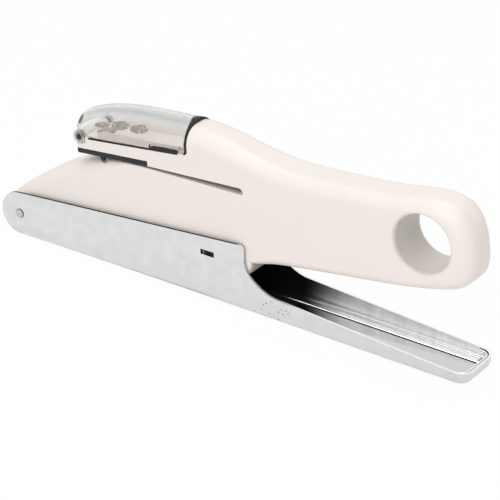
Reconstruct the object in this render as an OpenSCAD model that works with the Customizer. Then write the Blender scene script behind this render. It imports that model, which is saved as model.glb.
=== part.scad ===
// Long-reach hand punch: a chrome lever channel riveted at the nose of a
// two-part moulded body, with a steel frame, a punch and die, and a clear cover.
// The underside of the lever lies on z = 0 and the nose points to -X.

/* [Lever] */
// outside width of the pressed channel
lever_w = 20; // [18:0.5:24]
// thickness of the sheet
sheet = 0.8; // [0.6:0.1:1.2]
// length of the channel behind the pivot
lever_back = 188.5; // [175:0.5:200]
// height of the pivot, also the round of the front ears
pivot_z = 8.3; // [7.5:0.1:9.5]
// distance of the pivot in front of the origin
pivot_fore = 90.1; // [80:0.1:100]
// slope of the long top edge of the side walls
wall_slope = 4.93; // [3:0.1:7]
// end of the tall part of the side walls
wall_end = 99.9; // [90:0.1:110]
// corner that the sweep down to the low rear walls rounds off
sweep_x = 105; // [104:0.1:110]
// wall height at that corner
sweep_z = 9.24; // [8:0.02:11]
// radius of the sweep
sweep_r = 16.5; // [8:0.5:17]
// wall height at the closed rear end
rear_z = 4.1; // [3:0.1:6]
// plan round of the rear corners
rear_r = 4.5; // [3:0.5:8]
// outer bend along the bottom edges
bend_r = 2.2; // [1.2:0.1:2.6]
// half width of the stiffening beads beside the floor's bends
bead_r = 1; // [0.8:0.1:1.4]
// length of the stop windows in the side walls
window_l = 5.7; // [4:0.1:8]
// height of the stop windows
window_h = 2; // [1:0.1:2.5]

/* [Body] */
// thickness of the body across the parting line
body_w = 17; // [15:0.1:17.4]
// angle between the throat and the lever at rest
rest_tilt = 5.8; // [4.8:0.1:7]
// height of the throat's upper face above the pivot
throat_top = 28.85; // [27:0.05:31]
// height of the throat gap at its round end
throat_gap = 2; // [1.5:0.1:3]
// height of the throat gap behind the die plate, its narrowest place
throat_neck = 0.75; // [0.6:0.05:1.5]
// position of the round end of the throat
throat_end = 103; // [95:0.5:103.5]
// radius of the hanging hole
hang_r = 10.4; // [8:0.1:11]
// hanging hole from the pivot, along the throat
hang_x = 172; // [168:0.5:173]
// hanging hole above the pivot
hang_z = 20.6; // [19:0.1:22]
// round on the rims of the hanging hole
hang_rim = 1.5; // [0.8:0.1:2]
// front face of the shoulder behind the cover
shoulder_x = 79.6; // [78:0.1:84]

/* [Punch and die] */
// punch axis from the pivot
punch_x = 38; // [36:0.5:40]
// punch radius
punch_r = 3; // [2:0.1:3.2]
// radial running clearance of the punch and pins
run_gap = 0.04; // [0.02:0.01:0.08]
// radius of the drive pin
drive_r = 1.5; // [1:0.1:1.6]
// radius of the pivot rivet
rivet_r = 1.6; // [1.4:0.1:2]
// rear end of the black die plate
die_end = 61.5; // [58:0.5:66]
// thickness of the die plate
die_h = 1.8; // [1.6:0.1:2.2]
// frame plate thickness
plate_t = 2; // [1.5:0.1:2.2]
// turns of the return spring
spring_turns = 3.5; // [3:0.5:5]

/* [Cover] */
// half width of the cover
cover_w = 8.4; // [7.5:0.05:8.5]
// wall of the cover
cover_wall = 1; // [0.8:0.1:1.4]
// rear edge of the cover
cover_end = 78.1; // [76:0.1:80]
// height of the cover ridge above the pivot
cover_top = 46.9; // [44:0.1:50]
// cover hinge from the pivot, along the throat
hinge_x = 31.9; // [31:0.1:33]
// cover hinge above the pivot
hinge_z = 35; // [34.5:0.1:35.5]

/* [Hidden] */
$fn = 64;
chrome = [0.82, 0.83, 0.84];
steel = [0.62, 0.63, 0.64];
cream = [0.93, 0.9, 0.87];
black = [0.1, 0.1, 0.1];
brass = [0.75, 0.6, 0.3];
clear = [0.8, 0.82, 0.84, 0.45];
// small overlap that keeps faces from meeting exactly
nib = 0.02;
// clearance round parts that sit in a pocket
seat_gap = 0.15;
// larger than the whole tool, for cutters
far = 300;
lever_in = lever_w / 2 - sheet;
half = body_w / 2;
throat_low = throat_top - throat_gap;
plate_out = half - 2.2;
plate_in = plate_out - plate_t;
inner_w = plate_in - 0.05;
// the drive pin lies on the line from the pivot square to the punch
drive_gx = punch_x * cos(rest_tilt);
drive_gz = pivot_z + punch_x * sin(rest_tilt);
die_z = throat_top + die_h;
// crown of the lower arm round the punch, and the punch tip just below it
crown_z = 26.3;
tip_z = crown_z - 0.2;
guide_z = 12.4;
collar_z = 4.4;
collar_h = 1.2;

// unit vector, and turning a list of [x, z, round] corners into a smooth outline
function unit(v) = v / norm(v);
function flat(p) = [p[0], p[1]];
function turn(a) = (a + 900) % 360 - 180;
function corner(a, b, c, r, n) =
    let (u = unit(a - b), v = unit(c - b))
    let (w = acos(u * v) / 2)
    let (o = b + unit(u + v) * r / sin(w))
    let (s = b + u * r / tan(w) - o, e = b + v * r / tan(w) - o)
    let (t = atan2(s[1], s[0]), d = turn(atan2(e[1], e[0]) - t))
    [for (k = [0:n]) o + r * [cos(t + d * k / n), sin(t + d * k / n)]];
function rounded(list, n = 6) =
    [for (i = [0:len(list) - 1])
        let (m = len(list), b = list[i])
        let (a = flat(list[(i + m - 1) % m]), c = flat(list[(i + 1) % m]))
        each b[2] > 0 ? corner(a, flat(b), c, b[2], n) : [flat(b)]];
// outline of corners pushed outward by d, for a list that runs clockwise
function grown(list, d) =
    [for (i = [0:len(list) - 1])
        let (m = len(list), b = list[i])
        let (u = unit(flat(b) - flat(list[(i + m - 1) % m])))
        let (v = unit(flat(list[(i + 1) % m]) - flat(b)))
        let (p = [-u[1], u[0]], q = [-v[1], v[0]])
        let (out = u[0] * v[1] - u[1] * v[0] < 0 ? d : -d)
        let (s = flat(b) + d * (p + q) / (1 + p * q))
        [s[0], s[1], max(b[2] + out, 0.05)]];
// smooth curve through the control points, n steps to each span
function blend(a, b, c, d, t) =
    b + 0.5 * t * (c - a + t * (2 * a - 5 * b + 4 * c - d + t * (3 * (b - c) + d - a)));
function curve(p, n) =
    let (m = len(p) - 1)
    concat([for (i = [0:m - 1]) for (k = [0:n - 1])
        blend(p[max(i - 1, 0)], p[i], p[i + 1], p[min(i + 2, m)], k / n)], [p[m]]);
function inward(loop, i) =
    let (n = len(loop), d = loop[(i + 1) % n] - loop[(i + n - 1) % n])
    unit([d[1], -d[0]]);
// half of an arch, as points across the tool
function arch(w, low, top, n) =
    [for (k = [0:n]) [w * cos(180 * k / n), low + (top - low) * sin(180 * k / n)]];

// drawing plane x, z pushed across the tool from y0 to y1
module across(y0, y1) {
    translate([0, y1, 0])
        rotate([90, 0, 0])
            linear_extrude(height = y1 - y0)
                children();
}

// drawing plane y, z pushed along the tool from x0 to x1
module along(x0, x1) {
    translate([x0, 0, 0])
        rotate([90, 0, 90])
            linear_extrude(height = x1 - x0)
                children();
}

// round bar across the tool
module bar(x, z, r, y0, y1) {
    translate([x, y1, z])
        rotate([90, 0, 0])
            cylinder(r = r, h = y1 - y0);
}

// the frame of the lever, from the pivot on its underside
module at_lever() {
    translate([-pivot_fore, 0, 0])
        children();
}

// the frame of the body, with the pivot at its origin and the throat level
module at_body() {
    translate([-pivot_fore, 0, pivot_z])
        rotate([0, -rest_tilt, 0])
            children();
}

// half of a moulding between a top and a bottom curve of [x, z, edge round]
module half_loft(top, bottom, steps) {
    m = len(top);
    loop = concat(top, [for (i = [m - 1:-1:0]) bottom[i]]);
    n = len(loop);
    mid = [for (p = loop) [p[0], 0, p[1]]];
    rim = [for (k = [0:steps]) for (i = [0:n - 1])
        let (p = loop[i], e = p[2], q = inward(loop, i), a = 90 * k / steps)
        let (s = e * (1 - cos(a)))
        [p[0] + s * q[0], -(half - e + e * sin(a)), p[1] + s * q[1]]];
    last = (steps + 1) * n;
    skin = [for (k = [0:steps]) for (i = [0:n - 1])
        let (j = (i + 1) % n, a = k * n, b = a + n)
        each [[a + i, a + j, b + j], [a + i, b + j, b + i]]];
    caps = [for (i = [0:m - 2])
        let (j = n - 1 - i)
        each [[last + i, last + i + 1, last + j - 1], [last + i, last + j - 1, last + j],
            [j, j - 1, i + 1], [j, i + 1, i]]];
    polyhedron(points = concat(mid, rim), faces = concat(skin, caps));
}

// closed arch-shaped solid through stations of [x, half width, low, top]
module arch_loft(stations, n) {
    m = len(stations);
    c = n + 1;
    points = [for (s = stations) for (q = arch(s[1], s[2], s[3], n)) [s[0], q[0], q[1]]];
    skin = [for (k = [0:m - 2]) for (i = [0:n])
        let (j = (i + 1) % c, a = k * c, b = a + c)
        each [[a + i, b + j, a + j], [a + i, b + i, b + j]]];
    end = (m - 1) * c;
    caps = [for (i = [1:n - 1]) each [[0, i, i + 1], [end, end + i + 1, end + i]]];
    polyhedron(points = points, faces = concat(skin, caps));
}

// Lever: pressed channel with tall front walls, low rear walls and a closed rear end
wall_top = pivot_z + (pivot_z + nib) / cos(wall_slope) + wall_end * tan(wall_slope);
ear_arc = [for (k = [0:20]) let (a = 90 + wall_slope + k * (180 - wall_slope) / 20)
    [pivot_z * cos(a), pivot_z + pivot_z * sin(a), 0]];
lever_side = concat([[lever_back, 0, 3], [lever_back, rear_z, 0.4], [sweep_x, sweep_z, sweep_r],
    [wall_end, sweep_z + 8.7, 2], [wall_end, wall_top, 2]], ear_arc);
lever_inner = [[-20, sheet, 0], [lever_back - sheet, sheet, 2.1],
    [lever_back - sheet, 60, 0], [-20, 60, 0]];
floor_front = 6;
bead_from = 60;
bead_to = lever_back - 4.2;
bead_y = 6.2;
hem_l = 6;
hem_h = 1.2;
hem_t = 0.7;
window_x = 84.75;
window_z = 17.9;

function lever_plan(d) = [[-20, -lever_w / 2 + d, 0],
    [lever_back - d, -lever_w / 2 + d, rear_r - d],
    [lever_back - d, lever_w / 2 - d, rear_r - d], [-20, lever_w / 2 - d, 0]];
function lever_section(d) = [[-lever_w / 2 + d, d, bend_r - d], [lever_w / 2 - d, d, bend_r - d],
    [lever_w / 2 - d, 60, 0], [-lever_w / 2 + d, 60, 0]];

module lever_hollow() {
    intersection() {
        across(-lever_w, lever_w) polygon(rounded(lever_inner));
        linear_extrude(height = 70) polygon(rounded(lever_plan(sheet)));
        along(-30, far) polygon(rounded(lever_section(sheet)));
    }
    translate([-30, -lever_in, -5])
        cube([30 + floor_front, 2 * lever_in, 70]);
}

// round bars with ball ends along both sides of the floor
module beads(r, z) {
    for (s = [-1, 1]) {
        translate([bead_from, s * bead_y, z])
            rotate([0, 90, 0])
                cylinder(r = r, h = bead_to - bead_from);
        translate([bead_from, s * bead_y, z]) sphere(r = r);
        translate([bead_to, s * bead_y, z]) sphere(r = r);
    }
}

// folded hem along the top of the rear end
module hem() {
    difference() {
        translate([lever_back - hem_l, -lever_w / 2 + 0.3, rear_z - hem_h])
            cube([hem_l - 0.3, lever_w - 0.6, hem_h]);
        translate([0, 0, -1]) linear_extrude(height = 20) polygon(rounded(lever_plan(sheet + hem_t)));
        translate([lever_back - rear_r, 0, 0]) rear_corner(1);
        translate([lever_back - rear_r, 0, 0]) rear_corner(-1);
    }
}

// what lies outside the rounded rear corners
module rear_corner(side) {
    r = rear_r - 0.3;
    difference() {
        translate([0, side > 0 ? lever_w / 2 - rear_r : -lever_w / 2, -1]) cube([rear_r, rear_r, 20]);
        translate([0, side * (lever_w / 2 - rear_r), -2]) cylinder(r = r, h = 25);
    }
}

module stop_tab(side) {
    translate([window_x, side * (lever_in - 0.4), window_z - window_h / 2 - sheet / 2])
        cube([window_l - 0.9, 1.4, sheet], center = true);
}

module lever() color(chrome) at_lever() difference() {
    union() {
        difference() {
            intersection() {
                across(-lever_w / 2, lever_w / 2) polygon(rounded(lever_side));
                translate([0, 0, -1]) linear_extrude(height = 70) polygon(rounded(lever_plan(0)));
                along(-30, far) polygon(rounded(lever_section(0)));
            }
            lever_hollow();
        }
        difference() {
            beads(bead_r, sheet - 0.3);
            translate([0, -lever_w / 2, -5 + sheet / 2]) cube([far, lever_w, 5]);
        }
        hem();
        stop_tab(1);
        stop_tab(-1);
    }
    beads(bead_r - 0.6, 0);
    bar(0, pivot_z, rivet_r + 0.01, -lever_w, lever_w);
    translate([window_x, 0, window_z])
        cube([window_l, 2 * lever_w, window_h], center = true);
    for (s = [-1, 1])
        translate([drive_gx + s * bracket_pitch, 0, -1])
            cylinder(r = bracket_rivet_r + 0.01, h = 5);
}

// Pivot rivet: one shank through both ears and the bush, with shallow domed heads
head_h = 0.5;
head_r = 1.8;
module rivet_head() {
    rotate_extrude()
        polygon([[0, 0], [head_r, 0], [head_r - 0.1, head_h * 0.45], [head_r * 0.7, head_h * 0.85],
            [head_r * 0.35, head_h], [0, head_h]]);
}

module pivot_rivet() color(steel) at_lever() translate([0, 0, pivot_z]) {
    bar(0, 0, rivet_r, -lever_w / 2 - nib, lever_w / 2 + nib);
    translate([0, lever_w / 2 + 0.01, 0]) rotate([-90, 0, 0]) rivet_head();
    translate([0, -lever_w / 2 - 0.01, 0]) rotate([90, 0, 0]) rivet_head();
}

// Drive bracket: pressed steel saddle on the lever floor that carries the drive pin
bracket_t = 1.2;
bracket_y = 3.9;
bracket_l = 8;
bracket_pitch = 5;
bracket_rivet_r = 1.2;
bracket_side = [[-bracket_l, sheet + nib, 0], [-bracket_l, sheet + bracket_t, 0.5],
    [-3.2, drive_gz + 3.1, 3], [3.2, drive_gz + 3.1, 3], [bracket_l, sheet + bracket_t, 0.5],
    [bracket_l, sheet + nib, 0]];
module drive_bracket() color(steel) at_lever() translate([drive_gx, 0, 0]) difference() {
    across(-bracket_y, bracket_y) polygon(rounded(bracket_side));
    translate([-20, -bracket_y + bracket_t, sheet + bracket_t])
        cube([40, 2 * (bracket_y - bracket_t), 40]);
    bar(0, drive_gz, drive_r + 0.01, -10, 10);
    for (s = [-1, 1])
        translate([s * bracket_pitch, 0, 0])
            cylinder(r = bracket_rivet_r + 0.01, h = 5);
}

module bracket_rivets() color(steel) at_lever() translate([drive_gx, 0, 0])
    for (s = [-1, 1]) translate([s * bracket_pitch, 0, 0.05]) {
        cylinder(r = bracket_rivet_r, h = sheet + bracket_t);
        translate([0, 0, sheet + bracket_t - 0.03]) cylinder(r = 2, h = 0.8);
    }

module drive_pin() color(steel) at_lever()
    bar(drive_gx, drive_gz, drive_r, -bracket_y, bracket_y);

// Body shells: two mouldings that meet on the mid-plane, as [x, z, edge round] curves
span_steps = 4;
round_steps = 8;
handle_top = curve([[70, 45.3, 6.8], [80, 45.2, 6.8], [87, 44.3, 6.6], [95, 42.1, 6], [104, 39.1, 5.4],
    [114, 36.6, 5], [126, 35.2, 5], [142, 34.7, 5], [158, 34.6, 5], [169, 35.4, 5], [177, 35.6, 5.4],
    [184.2, 33.4, 6], [188, 28.6, 6], [189.7, 22.6, 6], [190, 18.4, 6]], span_steps);
handle_low = curve([[70, -1, 1], [80, -1, 1], [87, -1, 1], [95, -0.9, 1], [104, -0.5, 2],
    [112, 0.1, 4], [124, 0.9, 4], [140, 1.6, 4], [156, 2.3, 4], [168, 3.2, 4], [176, 4.2, 4.5],
    [183.4, 5.6, 5], [188, 9, 5.5], [189.7, 13, 6], [190, 15.8, 6]], span_steps);
arm_top = curve([[-7.6, 1.2, 4], [-6.6, 4.2, 4.5], [-3, 7.9, 5], [3, 11.7, 5], [11, 16.1, 5],
    [20, 20.4, 5], [29, 23.9, 5], [37, 26.3, 4.5], [45, 27.7, 3], [53, 28.4, 1.4],
    [62, 28.6, 0.5], [80, 28.6, 0.4], [104, 28.6, 0.4]], span_steps);
arm_low = curve([[-7.6, -1.2, 4], [-6.4, -3.6, 3], [-3.2, -5.2, 2], [3, -5.5, 1], [15, -5.5, 1],
    [30, -5.4, 1], [45, -5.4, 1], [60, -5.3, 1], [76, -5.2, 1], [92, -5.1, 1], [100.4, -5, 1],
    [102.6, -2.4, 1.4], [103.1, 1.6, 1.8]], span_steps);
// seat of the cover: a line that rises to the rear
seat_front = 34.78;
seat_rise = 0.022;
arm_front = 30.4;
function seat(x) = seat_front + (x - arm_front) * seat_rise;
upper_side = [[arm_front, die_z + 0.05, 0], [arm_front, seat_front, 1.2],
    [shoulder_x + 4, seat(shoulder_x + 4), 0], [shoulder_x + 4, throat_top - 0.1, 0],
    [die_end + 0.1, throat_top - 0.1, 0], [die_end + 0.1, die_z + 0.05, 0]];
// frame outline, clockwise: lower limb, back and the thin upper limb over the die plate
frame_side = [[-5.2, -3.2, 2.5], [-5.2, 2.2, 2.5], [6, 10.4, 4], [28, 20.6, 4], [34, 22.4, 3],
    [105.2, 22.4, 1.5], [105.2, die_z + 0.1, 1.5], [31.8, die_z + 0.1, 0.3],
    [31.8, die_z + 2.3, 0.5], [79, die_z + 2.3, 3], [84, 38.5, 2], [98, 36, 4], [116, 31, 5],
    [118, 5, 3], [106.5, 3.4, 3], [98.4, -3.2, 3]];
handle_hollow = [[120.5, 7.5, 3], [120.5, 30.4, 3], [154, 29.6, 5], [154, 8.6, 5]];
screws = [[127, 13], [148, 24], [68, 6]];
screw_r = 1.2;
boss_r = 3.2;
rail_y = [5.7, 6.5];
rail_top = 37.6;
rail_side = [[39, seat_front - 2, 0], [39, rail_top - 1, 0.4], [42, rail_top, 1],
    [76.5, rail_top, 0.4], [76.5, seat_front - 2, 0]];
knuckle_r = 1.9;
knuckle_y = 6.3;
catch_x = [63.4, 75.2];
catch_y = 7.3;
catch_h = 1;
leg_x = 35.8;
leg_sink = 0.4;
groove_x = [81.8, 88.6];
groove_z = [-1.5, 7.42];
// hollow round at the foot of the shoulder, where the seal curls under the cover
foot_r = 2;
foot_x = shoulder_x - 0.96 * foot_r;
foot_z = seat(foot_x) + 0.93 * foot_r;
foot_arc = [for (a = [-90:10:0]) [foot_x + foot_r * cos(a), foot_z + foot_r * sin(a)]];

// throat: narrow behind the die plate, wider towards its rounded end
throat_side = [[20, throat_top - throat_neck, 0], [20, throat_top, 0], [throat_end, throat_top, 1.5],
    [throat_end, throat_low, 0.4], [die_end - 4, throat_top - throat_neck, 3]];
module throat_cut() {
    across(-20, 20) polygon(rounded(throat_side));
}

// the two arms and the handle of one half, before its pockets
module half_form() {
    difference() {
        half_loft(handle_top, handle_low, round_steps);
        translate([60, -20, -20]) cube([shoulder_x - 60, 40, 80]);
        translate([60, -20, -20]) cube([40, 40, 20 + throat_top - 0.1]);
    }
    half_loft(arm_top, arm_low, round_steps);
    across(-half, 0) polygon(rounded(upper_side));
    across(-rail_y[1], -rail_y[0]) polygon(rounded(rail_side));
    across(-half, -half + seal_wall)
        polygon(concat([[foot_x, foot_z - foot_r - 1]], foot_arc,
            [[shoulder_x + 1, foot_z], [shoulder_x + 1, foot_z - foot_r - 1]]));
    bar(hinge_x, hinge_z, knuckle_r, -knuckle_y, 0);
}

// hanging hole with its rounded rim, as one turned cutter
module hang_cut() {
    translate([hang_x, 0, hang_z])
        rotate([90, 0, 0])
            rotate_extrude()
                polygon(concat([[0, -1], [hang_r, -1]], [for (a = [0:15:90])
                    [hang_r + hang_rim * (1 - cos(a)), half - hang_rim + hang_rim * sin(a)]],
                    [[hang_r + hang_rim, half + 1], [0, half + 1]]));
}

module half_pockets() {
    across(-plate_out - 0.1, 1) polygon(rounded(grown(frame_side, seat_gap)));
    difference() {
        across(-plate_out, 1) polygon(rounded(handle_hollow));
        for (s = screws) bar(s[0], s[1], boss_r, -half, 2);
    }
    hang_cut();
    throat_cut();
    // opening under the arm for the drive bracket
    translate([drive_gx - 12, -inner_w, -10]) cube([26, 20, 10]);
    // punch hole in the lower arm and chip hole in the upper arm
    translate([punch_x, 0, 15]) cylinder(r = punch_r + 0.4, h = throat_top - 15);
    translate([punch_x, 0, 15]) cylinder(r = neck_r + seat_gap, h = neck_top + seat_gap - 15);
    translate([punch_x, 0, die_z - 1]) cylinder(r = punch_r + 0.6, h = 10);
    // space between the frame limbs, over the die plate
    translate([32, -inner_w, die_z - 1]) cube([40, 20, 3.3]);
    bar(0, 0, pivot_bush_r + 0.01, -20, 20);
    bar(hinge_x, hinge_z, hinge_pin_r + 0.02, -20, 20);
    // room beside the knuckle for the cover eyelets
    translate([arm_front - 2, -20, hinge_z - 2.3])
        cube([hinge_x + 2.5 - arm_front + 2, 20 - knuckle_y - 0.1, 10]);
    translate([groove_x[0], -20, groove_z[0]])
        cube([groove_x[1] - groove_x[0], 20 - plate_out, groove_z[1] - groove_z[0]]);
    // ledge for the catch and its leg
    across(-20, -catch_y + 0.1)
        polygon([[leg_x - 0.1, seat(leg_x) - leg_sink - 0.05], [leg_x - 0.1, 60],
            [catch_x[1] + 0.1, 60], [catch_x[1] + 0.1, seat(catch_x[1]) - leg_sink - 0.05]]);
    translate([gauge_x, gauge_y, gauge_z - 0.6]) cylinder(r = gauge_r + 0.5, h = throat_top - gauge_z);
}

module half_shell() {
    difference() {
        half_form();
        half_pockets();
    }
}

module left_shell() color(cream) at_body() difference() {
    union() {
        half_shell();
        bar(screws[2][0], screws[2][1], boss_r, -half + 1, 0);
    }
    for (s = screws) bar(s[0], s[1], screw_r + 0.03, -plate_out + 0.5, 2);
}

module right_shell() color(cream) at_body() difference() {
    union() {
        mirror([0, 1, 0]) half_shell();
        bar(screws[2][0], screws[2][1], boss_r, 0, half - 1);
    }
    for (s = screws) {
        bar(s[0], s[1], screw_r + 0.3, -2, half + 1);
        bar(s[0], s[1], 2.9, half - 3, half + 1);
    }
}

module shell_screws() color(steel) at_body() for (s = screws) difference() {
    union() {
        bar(s[0], s[1], screw_r, -plate_out + 0.8, half - 2.9);
        bar(s[0], s[1], 2.6, half - 2.95, half - 1.2);
    }
    translate([s[0], half - 1.2, s[1]]) cube([3.4, 1.6, 0.7], center = true);
    translate([s[0], half - 1.2, s[1]]) cube([0.7, 1.6, 3.4], center = true);
}

// Pivot bush: turned sleeve through the shells and frame plates
pivot_bush_r = 3;
module pivot_bush() color(brass) at_body() difference() {
    bar(0, 0, pivot_bush_r, -half + 0.05, half - 0.05);
    bar(0, 0, rivet_r + run_gap, -half, half);
}

// Frame: two flat steel plates held apart by spacers and the guide
spacers = [[96, 9], [111, 20]];
spacer_r = 3.2;
frame_rivet_r = 1.5;
guide_pins = [[31, 16], [45, 16]];
block_pin = [53.2, die_z + 1.25];
block_pin_r = 0.7;
module frame_plate() {
    difference() {
        across(-plate_out, -plate_in) polygon(rounded(frame_side));
        bar(0, 0, pivot_bush_r + 0.01, -20, 20);
        for (s = concat(spacers, guide_pins)) bar(s[0], s[1], frame_rivet_r + 0.01, -20, 20);
        bar(block_pin[0], block_pin[1], block_pin_r + 0.01, -20, 20);
        bar(screws[2][0], screws[2][1], boss_r + seat_gap, -20, 20);
    }
}

module frame_plate_left() color(steel) at_body() frame_plate();

module frame_plate_right() color(steel) at_body() mirror([0, 1, 0]) frame_plate();

module frame_spacers() color(steel) at_body() for (s = spacers) difference() {
    bar(s[0], s[1], spacer_r, -inner_w, inner_w);
    bar(s[0], s[1], frame_rivet_r + 0.01, -20, 20);
}

module frame_rivets() color(steel) at_body() {
    for (s = concat(spacers, guide_pins)) bar(s[0], s[1], frame_rivet_r, -plate_out, plate_out);
    bar(block_pin[0], block_pin[1], block_pin_r, -plate_out, plate_out);
}

// Guide: block between the frame plates, bored for the punch, with a round neck
guide_top = 20.5;
neck_top = 24;
neck_r = punch_r + 1.2;
module punch_guide() color(brass) at_body() difference() {
    union() {
        translate([29, -inner_w, guide_z]) cube([18.5, 2 * inner_w, guide_top - guide_z]);
        translate([punch_x, 0, guide_z + 1]) cylinder(r = neck_r, h = neck_top - guide_z - 1);
    }
    translate([punch_x, 0, 0]) cylinder(r = punch_r + run_gap, h = 40);
    for (s = guide_pins) bar(s[0], s[1], frame_rivet_r + 0.01, -20, 20);
}

// Die plate: black bar across the whole upper arm, with the die hole and a rounded rear end
die_front = 30.5;
die_screw_x = [49.5, 57];
die_side = [[die_front, throat_top, 0.3], [die_front, die_z, 0.2], [die_end, die_z, 0.3],
    [die_end, throat_top, 1.3]];
gauge_x = 40.6;
gauge_y = -6.9;
gauge_z = 26.6;
gauge_r = 1.05;
module die_plate() color(black) at_body() difference() {
    across(-half, half) polygon(rounded(die_side));
    translate([punch_x, 0, 20]) cylinder(r = punch_r + run_gap, h = 20);
    translate([punch_x, 0, throat_top + 1]) cylinder(r = punch_r + 0.4, h = 5);
    translate([gauge_x, gauge_y, 20]) cylinder(r = gauge_r + 0.01, h = 20);
    for (x = die_screw_x) translate([x, 0, throat_top - nib]) {
        cylinder(r = screw_r + 0.1, h = 5);
        cylinder(r1 = 2.5, r2 = screw_r + 0.1, h = 1.3);
    }
}

// Die block: steel block between the frame limbs that the die screws pull against
module die_block() color(steel) at_body() difference() {
    translate([46, -inner_w, die_z + 0.1]) cube([15, 2 * inner_w, 2.1]);
    for (x = die_screw_x) translate([x, 0, 20]) cylinder(r = screw_r + 0.02, h = 20);
    bar(block_pin[0], block_pin[1], block_pin_r + 0.01, -20, 20);
}

module die_screws() color(steel) at_body() for (x = die_screw_x)
    translate([x, 0, throat_top + 0.05]) difference() {
        union() {
            cylinder(r = screw_r, h = die_h + 2);
            cylinder(r1 = 2.35, r2 = screw_r - 0.05, h = 1.2);
        }
        translate([0, 0, 0.2]) cube([4, 0.6, 0.9], center = true);
    }

// Gauge pin: dark pin with a ball end, hanging from the die plate at the edge of the throat
module gauge_pin() color(black) at_body() translate([gauge_x, gauge_y, gauge_z + gauge_r]) {
    cylinder(r = gauge_r, h = die_z - 0.1 - gauge_z - gauge_r);
    sphere(r = gauge_r);
}

// Punch: ground pin with a hollow tip, a flatted foot and an oblong drive slot
module punch() color(steel) at_body() translate([punch_x, 0, 0]) difference() {
    translate([0, 0, -3.2]) cylinder(r = punch_r, h = tip_z + 3.2);
    bar(0, tip_z + 11.3, 12, -20, 20);
    for (s = [-1, 1])
        translate([0, s * (punch_r + 2.45), -4]) cube([20, 6, 2 * (collar_z + 4) - 1], center = true);
    for (x = [-0.15, 0.15]) bar(x, 0, drive_r + run_gap, -20, 20);
    translate([0, 0, 0]) cube([0.3, 20, 2 * (drive_r + run_gap)], center = true);
}

// Spring collar: ring on the punch that the return spring pushes on
module spring_collar() color(steel) at_body() translate([punch_x, 0, collar_z]) difference() {
    cylinder(r = punch_r + 1.2, h = collar_h);
    translate([0, 0, -1]) cylinder(r = punch_r + 0.01, h = 5);
}

// Return spring: open coil between the collar and the guide
wire_r = 0.35;
coil_r = punch_r + 0.78;
module punch_spring() color(steel) at_body() translate([punch_x, 0, collar_z + collar_h]) {
    h = guide_z - collar_z - collar_h - 2 * wire_r - 0.1;
    turns = spring_turns;
    n = 20 * turns;
    c = 6;
    points = [for (k = [0:n]) for (i = [0:c - 1])
        let (a = 360 * turns * k / n, b = 360 * i / c, r = coil_r + wire_r * cos(b))
        [r * cos(a), r * sin(a), wire_r + 0.05 + h * k / n + wire_r * sin(b)]];
    skin = [for (k = [0:n - 1]) for (i = [0:c - 1])
        let (j = (i + 1) % c, p = k * c, q = p + c)
        each [[p + i, p + j, q + j], [p + i, q + j, q + i]]];
    end = n * c;
    caps = [for (i = [1:c - 2]) each [[0, i + 1, i], [end, end + i, end + i + 1]]];
    polyhedron(points = points, faces = concat(skin, caps));
}

// Cover: clear arched lid with a domed front, hinged on two eyelets
cover_low = 35.2;
cover_rise = 0.02;
// dome stations of [x, half width, share of the height], drawn for this half width
dome_w = 8.45;
dome = [[28, 4.2, 0.38], [28.4, 5.3, 0.45], [29.3, 6.4, 0.54], [30.8, 7.2, 0.62], [33.1, 7.75, 0.7],
    [36.2, 8.1, 0.78], [40.2, 8.32, 0.86], [45, 8.42, 0.93], [51, dome_w, 0.98], [58, dome_w, 1],
    [68, dome_w, 0.99], [cover_end, dome_w, 0.965]];
function cover_base(x) = cover_low + (x - hinge_x) * cover_rise;
// rounded rear corners of the lower edges
corner_r = 1.3;
corner_x = cover_end - corner_r;
corner_z = cover_base(cover_end) + corner_r;
function cover_stations(d) = [for (s = dome)
    let (x = s[0], t = cover_low + (cover_top - cover_low) * s[2])
    [x + d * (x == cover_end ? 1.5 : x < 28.2 ? 1.05 : x < 31 ? 0.75 : 0.3), s[1] * cover_w / dome_w - d,
        cover_base(x) - d * 0.6, t - d]];
eyelet_r = 2;
pip_x = 76.4;
pip_z = 37.7;
hinge_pin_r = 0.65;
pad_x = [42, 50.2, 58.4];
pad_turn = 33;
pad_tilt = 8;
module eyelet(side) {
    bar(hinge_x, hinge_z, eyelet_r, side * 7.5 - 0.9, side * 7.5 + 0.9);
    translate([hinge_x, side * 7.5 - 0.9, hinge_z + 0.3]) cube([3.6, 1.8, 1.7]);
}

// oval finger pad standing a little proud of the arch
module pad(x) {
    h = cover_top - cover_low;
    translate([x, -cover_w * cos(pad_turn), cover_low + h * sin(pad_turn)])
        rotate([atan2(h * cos(pad_turn), cover_w * sin(pad_turn)), 0, 0])
            rotate([0, 0, pad_tilt])
                translate([0, 0, -0.5])
                    linear_extrude(height = 0.7)
                        polygon([for (k = [0:23]) [3.9 * cos(15 * k), 1.6 * sin(15 * k)]]);
}

module chip_cover() color(clear) at_body() difference() {
    union() {
        difference() {
            arch_loft(cover_stations(0), 24);
            arch_loft(cover_stations(cover_wall), 24);
            // the front of the dome stops above the hinge knuckle
            translate([20, -knuckle_y - 0.2, 30])
                cube([14.4, 2 * knuckle_y + 0.4, 7.2]);
            translate([catch_x[0] - 0.4, -20, 30])
                cube([catch_x[1] - catch_x[0] + 0.8, 40, seat(catch_x[1]) + catch_h + 0.45 - 30]);
            across(-20, 20)
                polygon(concat([[corner_x, corner_z - 5]],
                    [for (a = [-90:10:0]) [corner_x, corner_z] + corner_r * [cos(a), sin(a)]],
                    [[cover_end + 1, corner_z], [cover_end + 1, corner_z - 5]]));
        }
        eyelet(1);
        eyelet(-1);
        for (x = pad_x) pad(x);
        bar(pip_x, pip_z, 0.8, -half, -half + 0.9);
        bar(pip_x, pip_z, 0.8, half - 0.9, half);
    }
    bar(hinge_x, hinge_z, hinge_pin_r + run_gap, -20, 20);
}

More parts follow.
